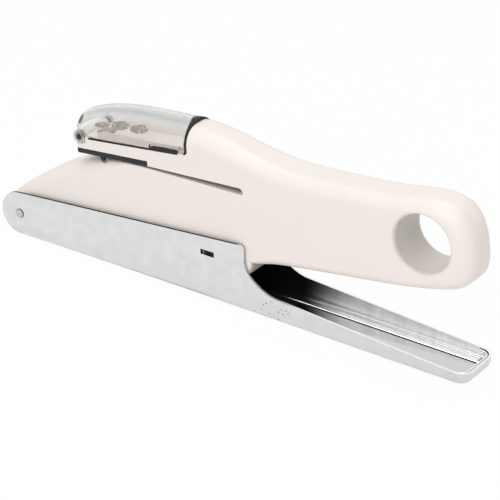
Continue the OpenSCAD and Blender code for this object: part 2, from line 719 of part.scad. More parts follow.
module cover_hinge_pin() color(steel) at_body()
    bar(hinge_x, hinge_z, hinge_pin_r, -half + nib, half - nib);

// Seal: black arched band on the shoulder face, that closes the rear of the cover,
// with feet that curl forward round the cover's corners and thin out under them
seal_front = cover_end + 0.3;
seal_wall = 1.4;
seal_spring = 37;
seal_top = 46.6;
seal_foot = concat([for (a = [0:-10:-70]) [foot_x, foot_z] + (foot_r - 0.1) * [cos(a), sin(a)]],
    [for (a = [-55:11:0]) [corner_x, corner_z] + (corner_r + 0.3) * [cos(a), sin(a)]]);
module seal_arch(w, top) {
    polygon(arch(w, seal_spring, top, 28));
}

module cover_seal() color(black) at_body() {
    difference() {
        along(seal_front, shoulder_x - 0.05) seal_arch(half, seal_top);
        along(0, far) seal_arch(half - seal_wall, seal_top - 1.7);
        translate([0, -half, 0]) cube([far, 2 * half, foot_z - nib]);
    }
    for (s = [-1, 1])
        translate([0, s * (half - seal_wall / 2), 0])
            across(-seal_wall / 2, seal_wall / 2) polygon(seal_foot);
}

// Catch: black spring strips let into the seat, with a thin leg under the cover's lower edge
// and a raised rear end that holds it
catch_side = [[leg_x, seat(leg_x) - leg_sink, 0], [leg_x, seat(leg_x) + 0.06, 0],
    [catch_x[0], seat(catch_x[0]) + 0.06, 0], [catch_x[0], seat(catch_x[0]) + catch_h, 0.5],
    [catch_x[1], seat(catch_x[1]) + catch_h + 0.15, 0.6], [catch_x[1], seat(catch_x[1]) - leg_sink, 0.5]];
module cover_catch() color(black) at_body() for (s = [-1, 1])
    translate([0, s * (half + catch_y) / 2, 0])
        across(-(half - catch_y) / 2 + 0.05, (half - catch_y) / 2 - 0.05)
            polygon(rounded(catch_side));

lever();
pivot_rivet();
drive_bracket();
bracket_rivets();
drive_pin();
left_shell();
right_shell();
shell_screws();
pivot_bush();
frame_plate_left();
frame_plate_right();
frame_spacers();
frame_rivets();
punch_guide();
die_plate();
die_block();
die_screws();
gauge_pin();
cover_hinge_pin();
cover_seal();
cover_catch();
punch();
spring_collar();
punch_spring();
chip_cover();
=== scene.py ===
import math

import bmesh
import bpy
from mathutils import Matrix, Vector


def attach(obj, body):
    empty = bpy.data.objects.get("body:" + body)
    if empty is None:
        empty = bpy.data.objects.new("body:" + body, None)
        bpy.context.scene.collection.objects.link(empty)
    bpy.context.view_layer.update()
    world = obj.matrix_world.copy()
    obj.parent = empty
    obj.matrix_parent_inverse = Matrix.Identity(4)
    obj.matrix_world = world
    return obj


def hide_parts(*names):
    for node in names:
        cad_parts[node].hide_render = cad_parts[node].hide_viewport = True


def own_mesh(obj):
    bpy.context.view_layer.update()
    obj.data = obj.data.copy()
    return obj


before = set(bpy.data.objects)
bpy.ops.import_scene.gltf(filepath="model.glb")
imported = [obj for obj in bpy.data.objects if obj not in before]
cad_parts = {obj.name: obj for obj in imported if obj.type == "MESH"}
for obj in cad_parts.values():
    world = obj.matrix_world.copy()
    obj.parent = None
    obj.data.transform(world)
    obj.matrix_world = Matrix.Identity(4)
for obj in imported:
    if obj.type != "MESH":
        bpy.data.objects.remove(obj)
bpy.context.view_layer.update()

# STUDIO
# A pale table in soft even light, seen from the punch's near rear corner.
# The table and the room are white to the camera and to the chrome and the clear cover.


def linear(colour):
    """sRGB hex to the linear colour that a shader takes."""
    parts = [int(colour[i:i + 2], 16) / 255 for i in (1, 3, 5)]
    return [c / 12.92 if c <= 0.04045 else ((c + 0.055) / 1.055) ** 2.4 for c in parts] + [1]


def add(tree, kind, inputs=None, **settings):
    """Adds a node with its settings, and links each input that is given as a socket."""
    node = tree.nodes.new(kind)
    for name, value in settings.items():
        setattr(node, name, value)
    for name, value in (inputs or {}).items():
        if isinstance(value, bpy.types.NodeSocket):
            tree.links.new(value, node.inputs[name])
        else:
            node.inputs[name].default_value = value
    return node


def ramp(tree, value, given=(0, 1), wanted=(0, 1), **settings):
    """A socket that maps one range of a value to another, and stays at its ends outside."""
    return add(tree, "ShaderNodeMapRange", {
        "Value": value, "From Min": given[0], "From Max": given[1], "To Min": wanted[0],
        "To Max": wanted[1]}, **settings).outputs[0]


def blend(tree, share, first, second):
    """A socket with the mix of two colours: the first where the share is 0, the second at 1."""
    return add(tree, "ShaderNodeMix", {0: share, 6: first, 7: second}, data_type="RGBA").outputs[2]


def new_material(name):
    """An empty node tree that ends in a Material Output; returns the material, tree and output."""
    material = bpy.data.materials.new(name)
    material.use_nodes = True
    tree = material.node_tree
    tree.nodes.clear()
    return material, tree, tree.nodes.new("ShaderNodeOutputMaterial")


def new_piece(name, bm, material):
    """Turns a bmesh that already stands in its place into an object with its material."""
    mesh = bpy.data.meshes.new(name)
    bm.to_mesh(mesh)
    bm.free()
    mesh.materials.append(material)
    piece = bpy.data.objects.new(name, mesh)
    bpy.context.scene.collection.objects.link(piece)
    return piece


scene = bpy.context.scene
scene.view_settings.view_transform = "Standard"

camera_data = bpy.data.cameras.new("photo_camera")
camera_data.sensor_width = 36
camera_data.lens = 167.95
camera_data.shift_x = 0.0037
camera_data.shift_y = -0.062
camera = bpy.data.objects.new("photo_camera", camera_data)
scene.collection.objects.link(camera)
camera_turn, camera_rise, camera_far = math.radians(35.25), math.radians(27.33), 0.8004
camera_aim = Vector((0.0049, 0, 0.030))
camera_back = Vector((
    math.sin(camera_turn) * math.cos(camera_rise),
    -math.cos(camera_turn) * math.cos(camera_rise),
    math.sin(camera_rise),
))
camera.location = camera_aim + camera_back * camera_far
camera.rotation_euler = (math.pi / 2 - camera_rise, 0, camera_turn)
scene.camera = camera

table_white, table_tree, table_end = new_material("white_table")
table_ray = add(table_tree, "ShaderNodeLightPath")
table_seen = add(table_tree, "ShaderNodeMath", {
    0: table_ray.outputs["Is Camera Ray"], 1: table_ray.outputs["Is Transmission Ray"]}, operation="MAXIMUM")
table_seen = add(table_tree, "ShaderNodeMath", {0: table_seen.outputs[0], 1: 0.95}, operation="MULTIPLY")
table_glow = add(table_tree, "ShaderNodeMath", {
    0: table_ray.outputs["Is Glossy Ray"], 1: 0.35, 2: table_seen.outputs[0]}, operation="MULTIPLY_ADD")
table_grain = add(table_tree, "ShaderNodeTexNoise", {
    "Vector": add(table_tree, "ShaderNodeTexCoord").outputs["Object"], "Scale": 1 / 0.02})
table_tone = blend(table_tree, table_grain.outputs[0], linear("#F2F2F2"), linear("#F6F6F6"))
table_matt = add(table_tree, "ShaderNodeBsdfDiffuse", {"Color": table_tone})
table_bright = add(table_tree, "ShaderNodeEmission", {"Color": (1, 1, 1, 1), "Strength": 1})
table_mix = add(table_tree, "ShaderNodeMixShader", {
    0: table_glow.outputs[0], 1: table_matt.outputs[0], 2: table_bright.outputs[0]})
table_tree.links.new(table_mix.outputs[0], table_end.inputs["Surface"])
table_radius, table_drop = 3, 0.0002
bm = bmesh.new()
bmesh.ops.create_circle(bm, segments=64, radius=table_radius, cap_ends=True)
bmesh.ops.translate(bm, vec=(0, 0, -table_drop), verts=bm.verts)
table = new_piece("table", bm, table_white)

room = bpy.data.worlds.new("white_room")
room.use_nodes = True
room_tree = room.node_tree
room_tree.nodes.clear()
room_ray = add(room_tree, "ShaderNodeLightPath")
room_seen = add(room_tree, "ShaderNodeMath", {
    0: room_ray.outputs["Is Camera Ray"], 1: room_ray.outputs["Is Glossy Ray"]}, operation="MAXIMUM")
room_seen = add(room_tree, "ShaderNodeMath", {
    0: room_seen.outputs[0], 1: room_ray.outputs["Is Transmission Ray"]}, operation="MAXIMUM")
room_fill = ramp(room_tree, room_seen.outputs[0], (0, 1), (0.56, 1))
room_light = add(room_tree, "ShaderNodeBackground", {"Color": (1, 1, 1, 1), "Strength": room_fill})
add(room_tree, "ShaderNodeOutputWorld", {"Surface": room_light.outputs[0]})
scene.world = room

# each lamp: place and width in metres, power in watts; all point where the camera does
lamps = {
    "key_lamp": ((0.24, -0.66, 0.71), 0.8, 4.2),
    "top_lamp": ((-0.10, 0.15, 0.85), 0.5, 1.8),
}
for name, (place, width, power) in lamps.items():
    lamp_data = bpy.data.lights.new(name, "AREA")
    lamp_data.size = width
    lamp_data.energy = power
    lamp = bpy.data.objects.new(name, lamp_data)
    scene.collection.objects.link(lamp)
    lamp.location = place
    lamp.rotation_euler = (camera_aim - Vector(place)).to_track_quat("-Z", "Y").to_euler()

# LEVER
# The squeeze lever: one piece of 0.8 mm steel sheet, blanked, folded to a channel with
# rounded rear corners and two pressed beads along its floor, then chromed.

mm = 0.001
nose = -90.1 * mm
lever_half = 10 * mm
lever_sheet = 0.8 * mm
lever_rear = nose + 188.5 * mm
tunnel_end = nose + 112 * mm


def ball(tree, place, centre, reach, turn=(0, 0, 0)):
    """A socket that falls from 1 at the centre to 0 at the reach given along each axis."""
    inside = add(tree, "ShaderNodeMapping", {
        "Vector": place, "Location": centre, "Rotation": turn, "Scale": reach}, vector_type="TEXTURE")
    return add(tree, "ShaderNodeTexGradient", {
        "Vector": inside.outputs[0]}, gradient_type="SPHERICAL").outputs["Fac"]


def creases(tree):
    """A socket that is 1 in creases under a millimetre wide, where painted shade goes."""
    close = add(tree, "ShaderNodeAmbientOcclusion", {"Distance": 0.8 * mm}, samples=8)
    return ramp(tree, close.outputs["AO"], (0.5, 0.75), (1, 0))


def paint_shade(tree, end, skin, share):
    """Ends a material with its shader, under painted black shade where the share is 1."""
    shade_skin = add(tree, "ShaderNodeBsdfPrincipled", {
        "Base Color": linear("#0D0C0C"), "Roughness": 0.6, "Specular IOR Level": 0.1})
    mix = add(tree, "ShaderNodeMixShader", {0: share, 1: skin.outputs[0], 2: shade_skin.outputs[0]})
    tree.links.new(mix.outputs[0], end.inputs["Surface"])


def mottled(name, size, detail, tones, rough=None, bump=None, **inputs):
    """A material whose tone, and roughness where a range is given, vary in patches of one size."""
    material, tree, end = new_material(name)
    patch = add(tree, "ShaderNodeTexNoise", {
        "Vector": add(tree, "ShaderNodeTexCoord").outputs["Object"], "Scale": 1 / size, "Detail": detail})
    inputs = {key.replace("_", " "): value for key, value in inputs.items()}
    inputs["Base Color"] = blend(tree, patch.outputs[0], linear(tones[0]), linear(tones[1]))
    if rough:
        inputs["Roughness"] = ramp(tree, patch.outputs[0], (0, 1), rough)
    if bump:
        inputs["Normal"] = add(tree, "ShaderNodeBump", {
            "Height": patch.outputs[0], "Strength": 0.1, "Distance": bump}).outputs[0]
    skin = add(tree, "ShaderNodeBsdfPrincipled", inputs)
    tree.links.new(skin.outputs[0], end.inputs["Surface"])
    return material


# bright chrome plate: it mirrors the white room, dulled in soft patches by handling, over a
# sheet that isn't quite flat; a few small pits have broken through low on the outer walls,
# and painted shade darkens the creases round the rivet and the lip
chrome, chrome_tree, chrome_end = new_material("chromed_steel_sheet")
chrome_place = add(chrome_tree, "ShaderNodeTexCoord").outputs["Object"]
chrome_haze = add(chrome_tree, "ShaderNodeTexNoise", {
    "Vector": chrome_place, "Scale": 1 / (5 * mm), "Detail": 4})
chrome_rough = ramp(chrome_tree, chrome_haze.outputs[0], (0.3, 0.7), (0.07, 0.12))
chrome_wave = add(chrome_tree, "ShaderNodeTexNoise", {
    "Vector": chrome_place, "Scale": 1 / (9 * mm), "Detail": 2})
chrome_bump = add(chrome_tree, "ShaderNodeBump", {
    "Height": chrome_wave.outputs[0], "Strength": 0.15, "Distance": 0.1 * mm})
chrome_cells = add(chrome_tree, "ShaderNodeTexVoronoi", {
    "Vector": chrome_place, "Scale": 1 / (1.7 * mm)}, feature="F1")
chrome_pit = ramp(chrome_tree, chrome_cells.outputs["Distance"], (0.13, 0.2), (1, 0))
chrome_worn = ball(
    chrome_tree, chrome_place, centre=(tunnel_end, 0, 3.5 * mm), reach=(10 * mm, 30 * mm, 5 * mm))
chrome_field = ramp(chrome_tree, chrome_worn, (0, 0.35))
chrome_spots = add(chrome_tree, "ShaderNodeMath", {
    0: chrome_pit, 1: chrome_field}, operation="MULTIPLY", use_clamp=True)
chrome_patch = ramp(chrome_tree, chrome_haze.outputs[0], (0.35, 0.65))
chrome_tone = blend(chrome_tree, chrome_patch, linear("#DCDDDD"), linear("#E3E4E4"))
chrome_pitted = blend(chrome_tree, chrome_spots.outputs[0], chrome_tone, linear("#1C1A19"))
chrome_skin = add(chrome_tree, "ShaderNodeBsdfPrincipled", {
    "Base Color": chrome_pitted, "Metallic": 1, "Roughness": chrome_rough,
    "Normal": chrome_bump.outputs[0]})
# painted black shade in creases under a millimetre wide
paint_shade(chrome_tree, chrome_end, chrome_skin, creases(chrome_tree))

# the inside of the channel: the same plate, left duller and streaked on the walls by the press,
# mirror bright on the floor, and painted black as shade in the tunnel under the arm and in its creases, but
# not on the ears
inner_chrome, inner_tree, inner_end = new_material("dull_chrome_inside")
inner_place = add(inner_tree, "ShaderNodeTexCoord").outputs["Object"]
inner_facing = add(inner_tree, "ShaderNodeSeparateXYZ", {
    "Vector": add(inner_tree, "ShaderNodeNewGeometry").outputs["Normal"]})
inner_upright = add(inner_tree, "ShaderNodeMath", {0: inner_facing.outputs["Y"]}, operation="ABSOLUTE")
inner_streak = add(inner_tree, "ShaderNodeTexNoise", {
    "Vector": add(inner_tree, "ShaderNodeMapping", {
        "Vector": inner_place, "Scale": (1 / (2.5 * mm), 1 / (12 * mm), 1 / (12 * mm))}).outputs[0],
    "Scale": 1, "Detail": 3})
inner_wall = blend(inner_tree, inner_streak.outputs[0], linear("#D2D2D2"), linear("#FFFFFF"))
inner_tone = blend(inner_tree, inner_upright.outputs[0], linear("#D0D0D0"), inner_wall)
inner_rough = ramp(inner_tree, inner_upright.outputs[0], (0.3, 0.8), (0.1, 0.36))
inner_skin = add(inner_tree, "ShaderNodeBsdfPrincipled", {
    "Base Color": inner_tone, "Metallic": 1, "Roughness": inner_rough})
# painted shade: black in the tunnel under the arm, fading out behind it and at the ears
inner_split = add(inner_tree, "ShaderNodeSeparateXYZ", {"Vector": inner_place})
inner_past = add(inner_tree, "ShaderNodeMath", {
    0: inner_split.outputs["X"], 1: tunnel_end}, operation="SUBTRACT")
inner_reach = ramp(inner_tree, inner_upright.outputs[0], (0.3, 0.8), (3 * mm, 20 * mm))
inner_share = add(inner_tree, "ShaderNodeMath", {
    0: inner_past.outputs[0], 1: inner_reach}, operation="DIVIDE")
inner_tunnel = ramp(inner_tree, inner_share.outputs[0], (0, 1), (1, 0), interpolation_type="SMOOTHSTEP")
inner_ear = ramp(inner_tree, inner_split.outputs["X"], (nose - 2 * mm, nose + 12 * mm))
inner_tunnel_shade = add(inner_tree, "ShaderNodeMath", {0: inner_tunnel, 1: inner_ear}, operation="MULTIPLY")
inner_shade = add(inner_tree, "ShaderNodeMath", {
    0: inner_tunnel_shade.outputs[0], 1: creases(inner_tree)}, operation="MAXIMUM")
paint_shade(inner_tree, inner_end, inner_skin, inner_shade.outputs[0])

# a painted dark reflection along the foot of the beads, brown-black and matt
bead_painted_dark = mottled(
    "bead_painted_dark_line", 2 * mm, 3, ("#0D0C0C", "#242220"), Roughness=0.6, Specular_IOR_Level=0.1)

# the cut edge of the sheet: bare, in a bright tone that paints a highlight, and painted black
# as shade along the body
edge_chrome, edge_tree, edge_end = new_material("bright_chrome_edge")
edge_place = add(edge_tree, "ShaderNodeTexCoord").outputs["Object"]
edge_mottle = add(edge_tree, "ShaderNodeTexNoise", {"Vector": edge_place, "Scale": 1 / (3 * mm), "Detail": 3})
edge_tone = blend(edge_tree, edge_mottle.outputs[0], linear("#E9EAEB"), linear("#FBFBFB"))
edge_rough = ramp(edge_tree, edge_mottle.outputs[0], (0, 1), (0.1, 0.25))
edge_skin = add(edge_tree, "ShaderNodeBsdfPrincipled", {
    "Base Color": edge_tone, "Metallic": 1, "Roughness": edge_rough})
edge_split = add(edge_tree, "ShaderNodeSeparateXYZ", {"Vector": edge_place})
edge_shade = ramp(edge_tree, edge_split.outputs["X"], (nose + 96.5 * mm, nose + 98.5 * mm), (1, 0))
paint_shade(edge_tree, edge_end, edge_skin, edge_shade)

# the rounded corners of the cut edge, painted white as a highlight, with faint dull patches
corner_chrome = mottled(
    "chrome_corner_painted_highlight", 4 * mm, 2, ("#EFEFEF", "#FFFFFF"), Metallic=0.6, Roughness=0.35)


def near(items, x=None, y=None, z=None, slack=0.01 * mm):
    """The vertices, or the faces and edges by their middle, that lie at the given coordinates."""
    found = []
    for item in items:
        spot = item.co if isinstance(item, bmesh.types.BMVert) else (
            sum((v.co for v in item.verts), Vector()) / len(item.verts))
        if all(want is None or abs(spot[axis] - want) < slack for axis, want in enumerate((x, y, z))):
            found.append(item)
    return found


def cut(bm, faces, point, normal):
    """Cuts the given faces along a plane, and leaves both sides."""
    # a dict keeps the parts in their order
    parts = dict.fromkeys(faces)
    for face in faces:
        parts.update(dict.fromkeys([*face.edges, *face.verts]))
    bmesh.ops.bisect_plane(bm, geom=list(parts), plane_co=point, plane_no=normal, dist=1e-7)


def made(result, kind=bmesh.types.BMVert):
    """The vertices, or the items of another kind, that an operator has made."""
    return [item for item in result["geom"] if isinstance(item, kind)]


def bevel(bm, geom, offset, segments, affect="EDGES"):
    """Rounds edges or vertices; the offset is the length that the round takes off."""
    bmesh.ops.bevel(
        bm, geom=geom, offset=offset, segments=segments, profile=0.5, affect=affect, material=-1)


def floor_faces(bm):
    """The faces of the lever's floor that lie flat on the table."""
    return [f for f in bm.faces if f.normal.z < -0.99 and max(v.co.z for v in f.verts) < 0.01 * mm]


def thicken(piece, name, thickness):
    """Gives a sheet of faces its wall, inwards; returns the modifier."""
    wall = piece.modifiers.new(name, "SOLIDIFY")
    wall.thickness = thickness
    wall.offset = -1
    return wall


def round_edges(piece, name, width, segments):
    """Rounds the edges of a piece that turn by more than 50 degrees; returns the modifier."""
    rounding = piece.modifiers.new(name, "BEVEL")
    rounding.width = width
    rounding.segments = segments
    rounding.limit_method = "ANGLE"
    rounding.angle_limit = math.radians(50)
    return rounding


def keep_flat(piece):
    """Lets flat faces look flat beside their rounded edges."""
    flat = piece.modifiers.new("flat_faces", "WEIGHTED_NORMAL")
    flat.keep_sharp = True


# side of the blank, as corners with the length that each round takes off its edges
lever_corners = [
    ((188.5, 0), 0), ((188.5, 4.1), 0), ((105, 9.24), 8.79), ((99.9, 17.94), 0.54),
    ((99.9, 25.27), 2.18), ((-8.3, 15.94), 7.61), ((-8.3, 0), 8.3),
]
bm = bmesh.new()
bm.faces.new([bm.verts.new((nose + x * mm, -lever_half, z * mm)) for (x, z), taken in lever_corners])
for (x, z), taken in lever_corners:
    if taken:
        bevel(bm, near(bm.verts, x=nose + x * mm, z=z * mm), taken * mm, 12, affect="VERTICES")
lever_blank = bmesh.ops.extrude_face_region(bm, geom=list(bm.faces))
bmesh.ops.translate(bm, vec=(0, 2 * lever_half, 0), verts=made(lever_blank))
bmesh.ops.recalc_face_normals(bm, faces=bm.faces)
# the channel is open on top and in front
lever_floor = floor_faces(bm)
lever_open = [
    f for f in bm.faces if abs(f.normal.y) < 0.5 and f not in lever_floor and not near([f], x=lever_rear)]
bmesh.ops.delete(bm, geom=lever_open, context="FACES")
# stop windows through both side walls, each with a tab left standing inside its lower edge
window_x, window_z, window_long, window_high = nose + 84.75 * mm, 17.9 * mm, 5.7 * mm, 2 * mm
tab_long = 1.45 * mm
for point, normal in (
        ((window_x - window_long / 2, 0, 0), (1, 0, 0)), ((window_x + window_long / 2, 0, 0), (1, 0, 0)),
        ((0, 0, window_z - window_high / 2), (0, 0, 1)), ((0, 0, window_z + window_high / 2), (0, 0, 1))):
    cut(bm, [f for f in bm.faces if abs(f.normal.y) > 0.9], point, normal)
bmesh.ops.delete(bm, geom=near(bm.faces, x=window_x, z=window_z, slack=0.2 * mm), context="FACES")
for side in (-1, 1):
    window_sill = near(bm.edges, x=window_x, y=side * lever_half, z=window_z - window_high / 2)
    window_tab = bmesh.ops.extrude_edge_only(bm, edges=window_sill)
    bmesh.ops.translate(bm, vec=(0, -side * tab_long, 0), verts=made(window_tab))
# rounded rear corners, then the bend round the floor, which starts behind the ears
rear_taken, bend_taken, ear_end = 4.5 * mm, 2.2 * mm, nose + 6 * mm
lever_upright = [e for e in near(bm.edges, x=lever_rear) if abs(e.verts[0].co.z - e.verts[1].co.z) > mm]
bevel(bm, lever_upright, rear_taken, 10)
bevel(bm, [e for f in floor_faces(bm) for e in f.edges if len(e.link_faces) == 2], bend_taken, 8)
# beads pressed up along both sides of the floor
bead_from, bead_to, bead_y = nose + 60 * mm, nose + 184.3 * mm, 6.3 * mm
bead_wide, bead_crown, bead_high, bead_runout = 1.35 * mm, 0.9 * mm, 0.45 * mm, 1 * mm
bead_cuts = [
    (side * bead_y + y, (0, 1, 0)) for side in (-1, 1)
    for y in (-bead_wide, -bead_crown, bead_crown, bead_wide)]
bead_cuts += [
    (x, (1, 0, 0)) for x in (ear_end, bead_from - bead_runout, bead_from, bead_to, bead_to + bead_runout)]
for place, normal in bead_cuts:
    cut(bm, floor_faces(bm), Vector(normal) * place, normal)
lever_front = [f for f in floor_faces(bm) if max(v.co.x for v in f.verts) < ear_end + 0.01 * mm]
bmesh.ops.delete(bm, geom=lever_front, context="FACES")
bead_top = [
    v for v in bm.verts if abs(abs(v.co.y) - bead_y) < 1.1 * bead_crown and v.co.z < 0.01 * mm
    and bead_from - 0.1 * mm < v.co.x < bead_to + 0.1 * mm]
bmesh.ops.translate(bm, vec=(0, 0, bead_high), verts=bead_top)
bead_edges = [
    e for e in bm.edges if abs((e.verts[0].co - e.verts[1].co).normalized().x) > 0.99
    and max(abs(abs(v.co.y) - bead_y) for v in e.verts) < 1.1 * bead_wide
    and min(v.co.x for v in e.verts) > bead_from - 0.1 * mm
    and max(v.co.x for v in e.verts) < bead_to + 0.1 * mm]
bevel(bm, bead_edges, 0.15 * mm, 3)
# the sheet's second side, its rim and its corners take later materials than the first side's;
# the beads get a painted highlight on top and a painted dark reflection on the side towards the middle of
# the floor
for face in bm.faces:
    face.smooth = True
    spot = face.calc_center_median()
    across = abs(spot.y) - bead_y
    if bead_from < spot.x < bead_to and spot.z < bead_high + 0.01 * mm and abs(across) < bead_wide:
        if across < -bead_crown - 0.05 * mm:
            face.material_index = 2
        elif across < bead_crown + 0.1 * mm:
            face.material_index = 1
lever = new_piece("lever_channel", bm, chrome)
for skin in (inner_chrome, edge_chrome, bead_painted_dark, corner_chrome):
    lever.data.materials.append(skin)
lever_wall = thicken(lever, "sheet", lever_sheet)
lever_wall.use_even_offset = True
lever_wall.material_offset = 1
# the rim takes the edge material: a painted highlight, with painted black shade along the body
lever_wall.material_offset_rim = 2
lever_edge = round_edges(lever, "deburred_edges", 0.25 * mm, 2)
# the rounds of the cut edge take the painted highlight
lever_edge.material = 4
keep_flat(lever)
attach(lever, "lever")
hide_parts("lever")

# LEVER HEM
# The rear rim of the channel, folded inward on itself to a smooth lip: the same chromed sheet.
hem_gap, hem_low, hem_high, hem_long, hem_taken = 0.3 * mm, 2.9 * mm, 1.15 * mm, 5.1 * mm, 3.6 * mm
hem_sheet = 0.7 * mm
hem_x, hem_y = lever_rear - lever_sheet - hem_gap, lever_half - lever_sheet - hem_gap
hem_spots = [(hem_x - hem_long, -hem_y), (hem_x, -hem_y), (hem_x, hem_y), (hem_x - hem_long, hem_y)]
bm = bmesh.new()
hem_line = [bm.verts.new((x, y, hem_low)) for x, y in hem_spots]
hem_edges = [bm.edges.new(pair) for pair in zip(hem_line, hem_line[1:])]
hem_strip = bmesh.ops.extrude_edge_only(bm, edges=hem_edges)
bmesh.ops.translate(bm, vec=(0, 0, hem_high), verts=made(hem_strip))
bevel(bm, [e for e in bm.edges if len(e.link_faces) == 2], hem_taken, 10)
bmesh.ops.recalc_face_normals(bm, faces=bm.faces)
for face in bm.faces:
    face.smooth = True
    if face.normal.x < -0.5 or face.normal.dot(Vector((0, face.calc_center_median().y, 0))) < -1e-6:
        face.normal_flip()
# the lip takes the edge's bright tone, a painted highlight
hem = new_piece("lever_hem", bm, edge_chrome)
thicken(hem, "fold", hem_sheet)
round_edges(hem, "fold_round", 0.2 * mm, 3)
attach(hem, "lever")

# RIVET AND DRIVE
# The pivot rivet, the saddle on the channel floor, its rivets and the drive pin: bright steel,
# turned or pressed, the rivet head upset cold over the ear.

# cold-worked steel with a warm cast, finely brushed so that it shines without a mirror image, with
# a painted dark ring of shade round the rim of the pivot's heads
pivot_z, rivet_radius = 8.3 * mm, 1.9 * mm
rivet_steel, rivet_tree, rivet_end = new_material("cold_headed_steel")
rivet_place = add(rivet_tree, "ShaderNodeTexCoord").outputs["Object"]
rivet_grain = add(rivet_tree, "ShaderNodeTexNoise", {
    "Vector": rivet_place, "Scale": 1 / (0.8 * mm), "Detail": 3})
rivet_rough = ramp(rivet_tree, rivet_grain.outputs[0], (0, 1), (0.25, 0.45))
rivet_tone = blend(rivet_tree, rivet_grain.outputs[0], linear("#CDBDB7"), linear("#DCCFC9"))
rivet_out = ball(rivet_tree, rivet_place, centre=(nose, 0, pivot_z), reach=(rivet_radius, 1, rivet_radius))
rivet_rim_shade = add(rivet_tree, "ShaderNodeMath", {0: rivet_out, 1: 0.09, 2: 0.08}, operation="COMPARE")
rivet_colour = blend(rivet_tree, rivet_rim_shade.outputs[0], rivet_tone, linear("#4A4542"))
rivet_bump = add(rivet_tree, "ShaderNodeBump", {
    "Height": rivet_grain.outputs[0], "Strength": 0.1, "Distance": 0.05 * mm})
rivet_skin = add(rivet_tree, "ShaderNodeBsdfPrincipled", {
    "Base Color": rivet_colour, "Metallic": 1, "Roughness": rivet_rough,
    "Normal": rivet_bump.outputs[0]})
rivet_tree.links.new(rivet_skin.outputs[0], rivet_end.inputs["Surface"])


def dress(name, material):
    """Gives a CAD node that keeps its own shape its finished material."""
    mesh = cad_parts[name].data
    mesh.materials.clear()
    mesh.materials.append(material)


for name in ("pivot_rivet", "drive_bracket", "bracket_rivets", "drive_pin"):
    dress(name, rivet_steel)

# FRAME AND PUNCH
# Two blanked steel plates riveted over spacers inside the mouldings, with the ground punch,
# its collar and the screws. The bush and the punch guide are turned brass.

# bright mild steel, ground and lightly oiled, with a fine grain along the tool
frame_steel, steel_tree, steel_end = new_material("ground_mild_steel")
steel_place = add(steel_tree, "ShaderNodeMapping", {
    "Vector": add(steel_tree, "ShaderNodeTexCoord").outputs["Object"],
    "Scale": (1 / (6 * mm), 1 / (0.5 * mm), 1 / (0.5 * mm))})
steel_grain = add(steel_tree, "ShaderNodeTexNoise", {
    "Vector": steel_place.outputs[0], "Scale": 1, "Detail": 3})
steel_rough = ramp(steel_tree, steel_grain.outputs[0], (0, 1), (0.25, 0.42))
steel_tone = blend(steel_tree, steel_grain.outputs[0], linear("#A9A8A6"), linear("#BDBCBA"))
steel_skin = add(steel_tree, "ShaderNodeBsdfPrincipled", {
    "Base Color": steel_tone, "Metallic": 1, "Roughness": steel_rough})
steel_tree.links.new(steel_skin.outputs[0], steel_end.inputs["Surface"])

# turned brass: warm yellow metal with dull oxide patches
brass = mottled("turned_brass", 2.5 * mm, 3, ("#C9A65E", "#B08B48"), rough=(0.2, 0.4), Metallic=1)

for name in ("frame_plate_left", "frame_plate_right", "frame_spacers", "frame_rivets", "die_block",
             "die_screws", "shell_screws", "punch", "spring_collar"):
    dress(name, frame_steel)
for name in ("pivot_bush", "punch_guide"):
    dress(name, brass)

# BODY SHELLS
# The two cream halves of the body, injection moulded, that meet on the mid-plane and are held
# by three screws from the far side. Edges that the mould leaves sharp are broken a little.

# satin cream ABS: an even warm white with a soft sheen, very faintly mottled, over a fine
# spark-eroded grain that is drawn coarser than the real one so that it shows; painted shade
# darkens the hole's wall in front and the arm's rear face at its foot, narrow gaps get painted
# shade, darkest where they face down, and the arm's underside in the channel is painted black as shade
hang_hole, arm_toe = (78.94 * mm, 0, 46.18 * mm), (11 * mm, 0, 13 * mm)
cream, cream_tree, cream_end = new_material("cream_moulded_abs")
cream_place = add(cream_tree, "ShaderNodeTexCoord").outputs["Object"]
cream_cloud = add(cream_tree, "ShaderNodeTexNoise", {
    "Vector": cream_place, "Scale": 1 / (22 * mm), "Detail": 3})
cream_tone = blend(cream_tree, cream_cloud.outputs[0], linear("#EDE4DD"), linear("#F1E9E3"))
cream_grain = add(cream_tree, "ShaderNodeTexNoise", {
    "Vector": cream_place, "Scale": 1 / (0.35 * mm), "Detail": 2})
cream_bump = add(cream_tree, "ShaderNodeBump", {
    "Height": cream_grain.outputs[0], "Strength": 0.12, "Distance": 0.03 * mm})
cream_rough = ramp(cream_tree, cream_cloud.outputs[0], (0, 1), (0.34, 0.44))
# painted shade on the front of the hole's wall
cream_hole_ball = ball(cream_tree, cream_place, centre=hang_hole, reach=(14 * mm, 40 * mm, 14 * mm))
cream_hole_shade = ramp(cream_tree, cream_hole_ball, (0.14, 0.24))
cream_split = add(cream_tree, "ShaderNodeSeparateXYZ", {"Vector": cream_place})
cream_front = ramp(cream_tree, cream_split.outputs["X"], (70 * mm, 84 * mm), (1, 0.15))
cream_hole_share = add(cream_tree, "ShaderNodeMath", {0: cream_hole_shade, 1: cream_front}, operation="MULTIPLY")
cream_hole_shaded = blend(cream_tree, cream_hole_share.outputs[0], cream_tone, linear("#C9C5BE"))
